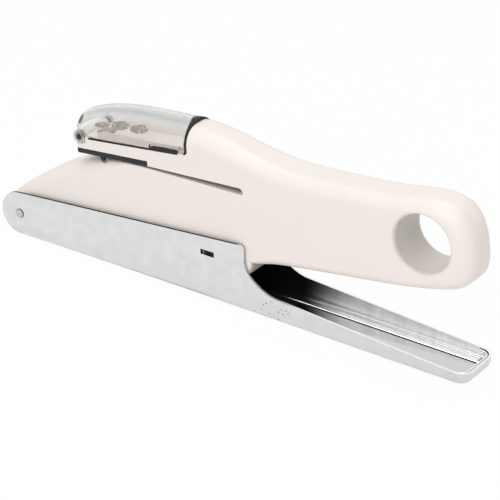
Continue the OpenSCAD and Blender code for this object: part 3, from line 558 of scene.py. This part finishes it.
# painted shade on the arm's rear face, near its foot
cream_toe = ball(cream_tree, cream_place, centre=arm_toe, reach=(12 * mm, 30 * mm, 12 * mm))
cream_facing = add(cream_tree, "ShaderNodeSeparateXYZ", {
    "Vector": add(cream_tree, "ShaderNodeNewGeometry").outputs["Normal"]})
cream_rear = ramp(cream_tree, cream_facing.outputs["X"], (0.55, 0.8), (0, 2.5))
cream_shade = add(cream_tree, "ShaderNodeMath", {
    0: cream_toe, 1: cream_rear}, operation="MULTIPLY", use_clamp=True)
cream_rear_shaded = blend(cream_tree, cream_shade.outputs[0], cream_hole_shaded, linear("#B7B0A7"))
# painted shade in narrow gaps: dark where they face down, light where they face up
cream_close = add(
    cream_tree, "ShaderNodeAmbientOcclusion", {"Distance": 2.2 * mm}, samples=8, only_local=True)
cream_gap_shade = ramp(cream_tree, cream_close.outputs["AO"], (0.3, 0.65))
cream_lit = ramp(cream_tree, cream_facing.outputs["Z"], (-0.6, 0.2))
cream_gap_tone = blend(cream_tree, cream_lit, linear("#2A2725"), linear("#EDE5DE"))
cream_gap_shaded = blend(cream_tree, cream_gap_shade, cream_gap_tone, cream_rear_shaded)
# painted black shade on the arm's underside in the channel
cream_under = ramp(cream_tree, cream_facing.outputs["Z"], (-0.7, -0.3), (1, 0))
cream_wide = add(cream_tree, "ShaderNodeAmbientOcclusion", {"Distance": 18 * mm}, samples=8)
cream_tunnel = ramp(cream_tree, cream_wide.outputs["AO"], (0.15, 0.6), (1, 0))
cream_under_shade = add(cream_tree, "ShaderNodeMath", {0: cream_under, 1: cream_tunnel}, operation="MULTIPLY")
cream_colour = blend(cream_tree, cream_under_shade.outputs[0], cream_gap_shaded, linear("#1C1A18"))
cream_skin = add(cream_tree, "ShaderNodeBsdfPrincipled", {
    "Base Color": cream_colour, "Roughness": cream_rough, "IOR": 1.53,
    "Normal": cream_bump.outputs[0]})
cream_tree.links.new(cream_skin.outputs[0], cream_end.inputs["Surface"])


def finished_copy(name, node, material, sharp, broken=0):
    """A merged copy of a CAD node, with its hard outer edges broken and its curves shaded smooth."""
    bm = bmesh.new()
    bm.from_mesh(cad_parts[node].data)
    bmesh.ops.remove_doubles(bm, verts=bm.verts, dist=0.002 * mm)
    bmesh.ops.dissolve_limit(
        bm, angle_limit=math.radians(0.3), verts=bm.verts, edges=bm.edges, use_dissolve_boundaries=False)
    outer_y = 8.2 * mm
    hard = [
        e for e in bm.edges if len(e.link_faces) == 2 and e.calc_face_angle(0) > math.radians(sharp)
        and all(abs(v.co.y) > outer_y for v in e.verts)]
    if broken:
        bmesh.ops.bevel(
            bm, geom=hard, offset=broken, segments=2, profile=0.5, affect="EDGES", material=-1,
            clamp_overlap=True)
    for face in bm.faces:
        face.smooth = True
    for edge in bm.edges:
        edge.smooth = not (len(edge.link_faces) == 2 and edge.calc_face_angle(0) > math.radians(sharp))
    piece = new_piece(name, bm, material)
    keep_flat(piece)
    return piece


# the body's own frame, with the pivot at its origin and the throat level
body_frame = Matrix.Translation((nose, 0, pivot_z)) @ Matrix.Rotation(math.radians(-5.8), 4, "Y")
to_body = body_frame.inverted()
groove_drop, throat_short, throat_drop, throat_wider = 1.1 * mm, 1.2 * mm, 1.3 * mm, 0.4 * mm
for name in ("left_shell", "right_shell"):
    shell = finished_copy(name + "_moulding", name, cream, sharp=38, broken=0.2 * mm)
    # the groove for the lever's stop tab ends under the lever's edge, out of sight, and the throat
    # runs down a little to its end, its lower face more than its upper: the ends of both are moved,
    # each found by its range of x and z in the body's frame, in millimetres
    for vertex in shell.data.vertices:
        spot = to_body @ vertex.co
        if 81 < spot.x / mm < 89.5 and 7.1 < spot.z / mm < 7.7 and abs(spot.y) > 6 * mm:
            vertex.co = body_frame @ (spot - Vector((0, 0, groove_drop)))
        elif 100.9 < spot.x / mm < 103.6 and 26.4 < spot.z / mm < 29.3:
            drop = throat_drop + throat_wider if spot.z < 27.5 * mm else throat_drop
            vertex.co = body_frame @ (spot - Vector((throat_short, 0, drop)))
    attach(shell, "body")
    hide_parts(name)

# RETURN SPRING
# The open coil round the punch, wound from round steel wire, that stands between the collar and
# the guide.

spring = finished_copy("return_spring", "punch_spring", frame_steel, sharp=60)
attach(spring, "body")
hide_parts("punch_spring")
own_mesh(spring)

# DIE PLATE AND GAUGE PIN
# The blackened steel bar under the upper arm, with the die hole, and the dark pin hanging
# from it that the paper's edge is set against.

# chemically blackened steel: deep grey-black with a slight oily sheen and worn brighter patches
black_steel = mottled(
    "blackened_steel", 1.6 * mm, 4, ("#121213", "#242425"), rough=(0.35, 0.55), bump=0.05 * mm,
    Specular_IOR_Level=0.4)
for name in ("die_plate", "gauge_pin", "cover_hinge_pin"):
    dress(name, black_steel)

# SEAL AND CATCH
# The black rubber band that closes the rear of the cover, pressed on the shoulder, and the
# two black catch strips let into the seat that grip the cover's lower edges.

# moulded black rubber: matt, almost no highlight, with a faint bloom
rubber = mottled(
    "black_rubber", 1.2 * mm, 3, ("#1B1B1B", "#2B2A2A"), rough=(0.5, 0.7), Specular_IOR_Level=0.3)
for name in ("cover_seal", "cover_catch"):
    dress(name, rubber)

# CHIP COVER
# The clear arched lid over the chip chamber, moulded in one piece, open below and at the rear,
# with a domed front and gaps in its edges for the hinge knuckle and the catches.

# clear polystyrene: water-clear and glossy, a little grey through its thickness, with flow ripple
# and a greyer painted reflection along the near side of the ridge, and a black painted reflection
# on the front of the dome; lamp light passes through to the chamber
clear, clear_tree, clear_end = new_material("clear_polystyrene")
clear_place = add(clear_tree, "ShaderNodeTexCoord").outputs["Object"]
clear_flow = add(clear_tree, "ShaderNodeTexNoise", {
    "Vector": clear_place, "Scale": 1 / (12 * mm), "Detail": 1})
clear_bump = add(clear_tree, "ShaderNodeBump", {
    "Height": clear_flow.outputs[0], "Strength": 0.1, "Distance": 0.1 * mm})
clear_rough = ramp(clear_tree, clear_flow.outputs[0], (0, 1), (0.06, 0.11))
clear_split = add(clear_tree, "ShaderNodeSeparateXYZ", {"Vector": clear_place})
clear_side = add(clear_tree, "ShaderNodeMath", {
    0: clear_split.outputs["Y"], 1: 2.9 * mm}, operation="ADD")
clear_side = add(clear_tree, "ShaderNodeMath", {0: clear_side.outputs[0]}, operation="ABSOLUTE")
clear_painted_streak = ramp(
    clear_tree, clear_side.outputs[0], (0.2 * mm, 1.2 * mm), (1, 0), interpolation_type="SMOOTHSTEP")
clear_tone = blend(clear_tree, clear_painted_streak, linear("#EAEAE9"), linear("#D2D4D5"))
clear_front_spot = ball(
    clear_tree, clear_place, centre=(-65.2 * mm, -3.7 * mm, 50.75 * mm),
    reach=(1.7 * mm, 3 * mm, 1.7 * mm), turn=(math.radians(16), 0, math.radians(17)))
clear_painted_spot = ramp(clear_tree, clear_front_spot, (0.05, 0.25))
clear_colour = blend(clear_tree, clear_painted_spot, clear_tone, linear("#0C0C0C"))
clear_skin = add(clear_tree, "ShaderNodeBsdfPrincipled", {
    "Base Color": clear_colour, "Roughness": clear_rough, "IOR": 1.49,
    "Transmission Weight": 1, "Normal": clear_bump.outputs[0]})
clear_through = add(clear_tree, "ShaderNodeBsdfTransparent", {"Color": linear("#EDEDEC")})
clear_mix = add(clear_tree, "ShaderNodeMixShader", {
    0: add(clear_tree, "ShaderNodeLightPath").outputs["Is Shadow Ray"], 1: clear_skin.outputs[0],
    2: clear_through.outputs[0]})
clear_tree.links.new(clear_mix.outputs[0], clear_end.inputs["Surface"])

# in the body's frame: half width, foot of the walls at the hinge and its slope, height of the ridge
cover_half, cover_low, cover_rise, cover_height = 8.4 * mm, 35.2 * mm, 0.02, 11.7 * mm
cover_hinge = Vector((31.9 * mm, 0, 35 * mm))
cover_front_x = 28
# stations along the lid: place in millimetres, half width against the widest, ridge against the highest
cover_line = [
    (cover_front_x, 0.497, 0.38), (28.4, 0.627, 0.45), (29.3, 0.757, 0.54), (30.8, 0.852, 0.62),
    (33.1, 0.917, 0.70), (36.2, 0.959, 0.78), (40.2, 0.985, 0.86), (45, 0.996, 0.93), (51, 1, 0.98),
    (58, 1, 1), (68, 1, 0.99), (78.1, 1, 0.965),
]


def eased(a, b, c, d, t):
    """A smooth step from b to c between their neighbours a and d."""
    return b + 0.5 * t * (c - a + t * (2 * a - 5 * b + 4 * c - d + t * (3 * (b - c) + d - a)))


cover_stations = []
cover_last = len(cover_line) - 1
for i in range(cover_last):
    four = [cover_line[max(i - 1, 0)], cover_line[i], cover_line[i + 1], cover_line[min(i + 2, cover_last)]]
    for step in range(4):
        cover_stations.append([eased(*values, step / 4) for values in zip(*four)])
cover_stations.append(cover_line[-1])

bm = bmesh.new()
bmesh.ops.create_circle(bm, segments=96, radius=1)
bmesh.ops.delete(bm, geom=[v for v in bm.verts if v.co.y < -0.001], context="VERTS")
cover_arch = list(bm.verts)
cover_edges = list(bm.edges)
for number, (x, wide, high) in enumerate(cover_stations):
    if number:
        grown = bmesh.ops.extrude_edge_only(bm, edges=cover_edges)
        cover_edges, cover_arch = made(grown, bmesh.types.BMEdge), made(grown)
        shrink = Matrix.Diagonal((1, wide / last[1], 1, 1))
        bmesh.ops.transform(bm, matrix=shrink, verts=cover_arch)
        base, last_base = (cover_low + (place * mm - cover_hinge.x) * cover_rise for place in (x, last[0]))
        lift = (cover_low + cover_height * high - base) / (cover_low + cover_height * last[2] - last_base)
        bmesh.ops.transform(
            bm, verts=cover_arch, matrix=Matrix.Translation((0, 0, base)) @ Matrix.Diagonal((1, 1, lift, 1))
            @ Matrix.Translation(((x - last[0]) * mm, 0, -last_base)))
    else:
        base = cover_low + (x * mm - cover_hinge.x) * cover_rise
        stand = Matrix(((0, 0, 1, x * mm), (1, 0, 0, 0), (0, 1, 0, 0), (0, 0, 0, 1)))
        bmesh.ops.transform(bm, verts=cover_arch, matrix=stand)
        bmesh.ops.scale(
            bm, verts=cover_arch, vec=(1, cover_half * wide, cover_low + cover_height * high - base))
        bmesh.ops.translate(bm, verts=cover_arch, vec=(0, 0, base))
    last = (x, wide, high)
# the dome's blunt front
cover_front = [e for e in bm.edges if all(abs(v.co.x - cover_front_x * mm) < 1e-6 for v in e.verts)]
for pull, shrink in ((-0.12, 0.7), (-0.06, 0.5), (-0.02, 0.02)):
    grown = bmesh.ops.extrude_edge_only(bm, edges=cover_front)
    cover_front, front_verts = made(grown, bmesh.types.BMEdge), made(grown)
    bmesh.ops.scale(
        bm, verts=front_verts, vec=(1, shrink, shrink), space=Matrix.Translation((0, 0, -cover_low)))
    bmesh.ops.translate(bm, verts=front_verts, vec=(pull * mm, 0, 0))
bmesh.ops.remove_doubles(bm, verts=bm.verts, dist=1e-7)
# room for the hinge knuckle in front, and for the two catches at the lower edges
knuckle_x, knuckle_z, knuckle_y = 34.4 * mm, 37.2 * mm, 6.5 * mm
catch_from, catch_to = 63 * mm, 75.6 * mm
cut(bm, list(bm.faces), (knuckle_x, 0, 0), (1, 0, 0))
cut(bm, list(bm.faces), (0, 0, knuckle_z), (0, 0, 1))
for side in (-1, 1):
    cover_dome = [f for f in bm.faces if f.calc_center_median().x < knuckle_x]
    cut(bm, cover_dome, (0, side * knuckle_y, 0), (0, 1, 0))
for x in (catch_from, catch_to):
    cut(bm, [f for f in bm.faces if f.calc_center_median().z < knuckle_z], (x, 0, 0), (1, 0, 0))
cover_gaps = []
for face in bm.faces:
    spot = face.calc_center_median()
    under_front = spot.x < knuckle_x and abs(spot.y) < knuckle_y
    over_catch = catch_from < spot.x < catch_to
    if spot.z < knuckle_z and (under_front or over_catch):
        cover_gaps.append(face)
bmesh.ops.delete(bm, geom=cover_gaps, context="FACES")
# rounded rear corners of the lower edges
corner_x, corner_z, corner_r = 76.8 * mm, 37.424 * mm, 1.3 * mm
for degrees in range(-80, 0, 10):
    corner_out = Vector((math.cos(math.radians(degrees)), 0, math.sin(math.radians(degrees))))
    bmesh.ops.bisect_plane(
        bm, geom=bm.verts[:] + bm.edges[:] + bm.faces[:], plane_no=corner_out, clear_outer=True,
        plane_co=Vector((corner_x, 0, corner_z)) + corner_out * corner_r, dist=1e-7)
bmesh.ops.recalc_face_normals(bm, faces=bm.faces)
if max(bm.faces, key=lambda f: f.calc_center_median().z).normal.z < 0:
    bmesh.ops.reverse_faces(bm, faces=bm.faces)
bmesh.ops.transform(bm, matrix=body_frame, verts=bm.verts)
for face in bm.faces:
    face.smooth = True
cover = new_piece("chip_cover_lid", bm, clear)
thicken(cover, "moulded_wall", 1 * mm)
round_edges(cover, "rim_round", 0.15 * mm, 2)
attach(cover, "cover")
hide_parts("chip_cover")

# COVER EYELETS
# Two thick eyelets at the front of the lid, flanged outside, that turn on the hinge pin, and a
# pip at each rear corner that the catch grips. All are moulded with the lid.

# section of an eyelet in millimetres: radius, and distance from the mid-plane
eyelet_ring = [
    (0.69, 6.65), (2.0, 6.65), (2.0, 8.55), (2.7, 8.55), (2.7, 8.95), (2.35, 8.95), (1.3, 8.95),
    (1.3, 8.35), (0.69, 8.35)]
pip_x, pip_y, pip_z, pip_high = 76.4 * mm, 8.05 * mm, 37.7 * mm, 0.9 * mm
bm = bmesh.new()
for side in (-1, 1):
    ring_verts = [
        bm.verts.new((cover_hinge.x + r * mm, side * y * mm, cover_hinge.z)) for r, y in eyelet_ring]
    ring_edges = [bm.edges.new(pair) for pair in zip(ring_verts, ring_verts[1:] + ring_verts[:1])]
    bmesh.ops.spin(
        bm, geom=ring_verts + ring_edges, cent=cover_hinge, axis=(0, 1, 0), angle=2 * math.pi, steps=40,
        use_merge=True)
    pip = bmesh.ops.create_cone(
        bm, segments=24, radius1=0.8 * mm, radius2=0.7 * mm, depth=pip_high, cap_ends=True)
    bmesh.ops.transform(
        bm, verts=pip["verts"], matrix=Matrix.Translation((pip_x, side * pip_y, pip_z))
        @ Matrix.Rotation(math.radians(-90 * side), 4, "X"))
bmesh.ops.recalc_face_normals(bm, faces=bm.faces)
bmesh.ops.transform(bm, matrix=body_frame, verts=bm.verts)
for face in bm.faces:
    face.smooth = True
eyelets = new_piece("cover_eyelets", bm, clear)
round_edges(eyelets, "edge_round", 0.2 * mm, 3)
keep_flat(eyelets)
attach(eyelets, "cover")

# HINGE PIN HEADS
# The ends of the cover's hinge pin, upset to low round heads in the eyelets' flanges: the same
# blackened steel as the pin.
head_y, head_high = 8.63 * mm, 0.5 * mm
bm = bmesh.new()
for side in (-1, 1):
    head = bmesh.ops.create_cone(
        bm, segments=32, radius1=1.2 * mm, radius2=1.1 * mm, depth=head_high, cap_ends=True)
    bmesh.ops.transform(
        bm, verts=head["verts"], matrix=Matrix.Translation((cover_hinge.x, side * head_y, cover_hinge.z))
        @ Matrix.Rotation(math.radians(-90 * side), 4, "X"))
bmesh.ops.transform(bm, matrix=body_frame, verts=bm.verts)
for face in bm.faces:
    face.smooth = len(face.verts) == 4
pin_heads = new_piece("hinge_pin_heads", bm, black_steel)
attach(pin_heads, "body")

# FINGER PADS
# Three oval pads on the near side of the lid for the thumb that opens it, the first smaller:
# moulded with the lid, and etched in the mould.

# frosted plastic, the same as the lid's: grey-brown with painted bright glints
frost, frost_tree, frost_end = new_material("etched_polystyrene")
frost_place = add(frost_tree, "ShaderNodeTexCoord").outputs["Object"]
frost_grit = add(frost_tree, "ShaderNodeTexNoise", {
    "Vector": frost_place, "Scale": 1 / (0.5 * mm), "Detail": 3})
frost_painted_glint = ramp(frost_tree, frost_grit.outputs[0], (0.52, 0.72))
frost_tone = blend(frost_tree, frost_painted_glint, linear("#968F89"), linear("#F6F4F2"))
frost_bump = add(frost_tree, "ShaderNodeBump", {
    "Height": frost_grit.outputs[0], "Strength": 0.15, "Distance": 0.05 * mm})
frost_skin = add(frost_tree, "ShaderNodeBsdfPrincipled", {
    "Base Color": frost_tone, "Roughness": 0.4, "IOR": 1.49, "Transmission Weight": 0.1,
    "Normal": frost_bump.outputs[0]})
frost_tree.links.new(frost_skin.outputs[0], frost_end.inputs["Surface"])

pad_tilt, pad_high, pad_sides = math.radians(8), 0.3 * mm, 48
bm = bmesh.new()
# each pad: place along the lid, half length and half width in millimetres, degrees up the arch
for x, long, wide, degrees in ((42.2, 3.3, 1, 28), (50.2, 3.9, 1.6, 33), (58.4, 3.9, 1.6, 33)):
    pad_turn = math.radians(degrees)
    pad_lean = math.atan2(cover_height * math.cos(pad_turn), cover_half * math.sin(pad_turn))
    oval = bmesh.ops.create_circle(bm, segments=pad_sides, radius=1, cap_ends=True)["verts"]
    bmesh.ops.scale(bm, verts=oval, vec=(long * mm, wide * mm, 1))
    raised = bmesh.ops.extrude_face_region(bm, geom=[oval[0].link_faces[0]])
    oval += made(raised)
    bmesh.ops.translate(bm, verts=oval[pad_sides:], vec=(0, 0, pad_high))
    bmesh.ops.transform(
        bm, verts=oval, matrix=Matrix.Translation((
            x * mm, -cover_half * math.cos(pad_turn), cover_low + cover_height * math.sin(pad_turn)))
        @ Matrix.Rotation(pad_lean, 4, "X") @ Matrix.Rotation(pad_tilt, 4, "Z")
        @ Matrix.Translation((0, 0, -pad_high / 2)))
bmesh.ops.recalc_face_normals(bm, faces=bm.faces)
bmesh.ops.transform(bm, matrix=body_frame, verts=bm.verts)
pads = new_piece("cover_finger_pads", bm, frost)
round_edges(pads, "edge_round", 0.12 * mm, 2)
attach(pads, "cover")
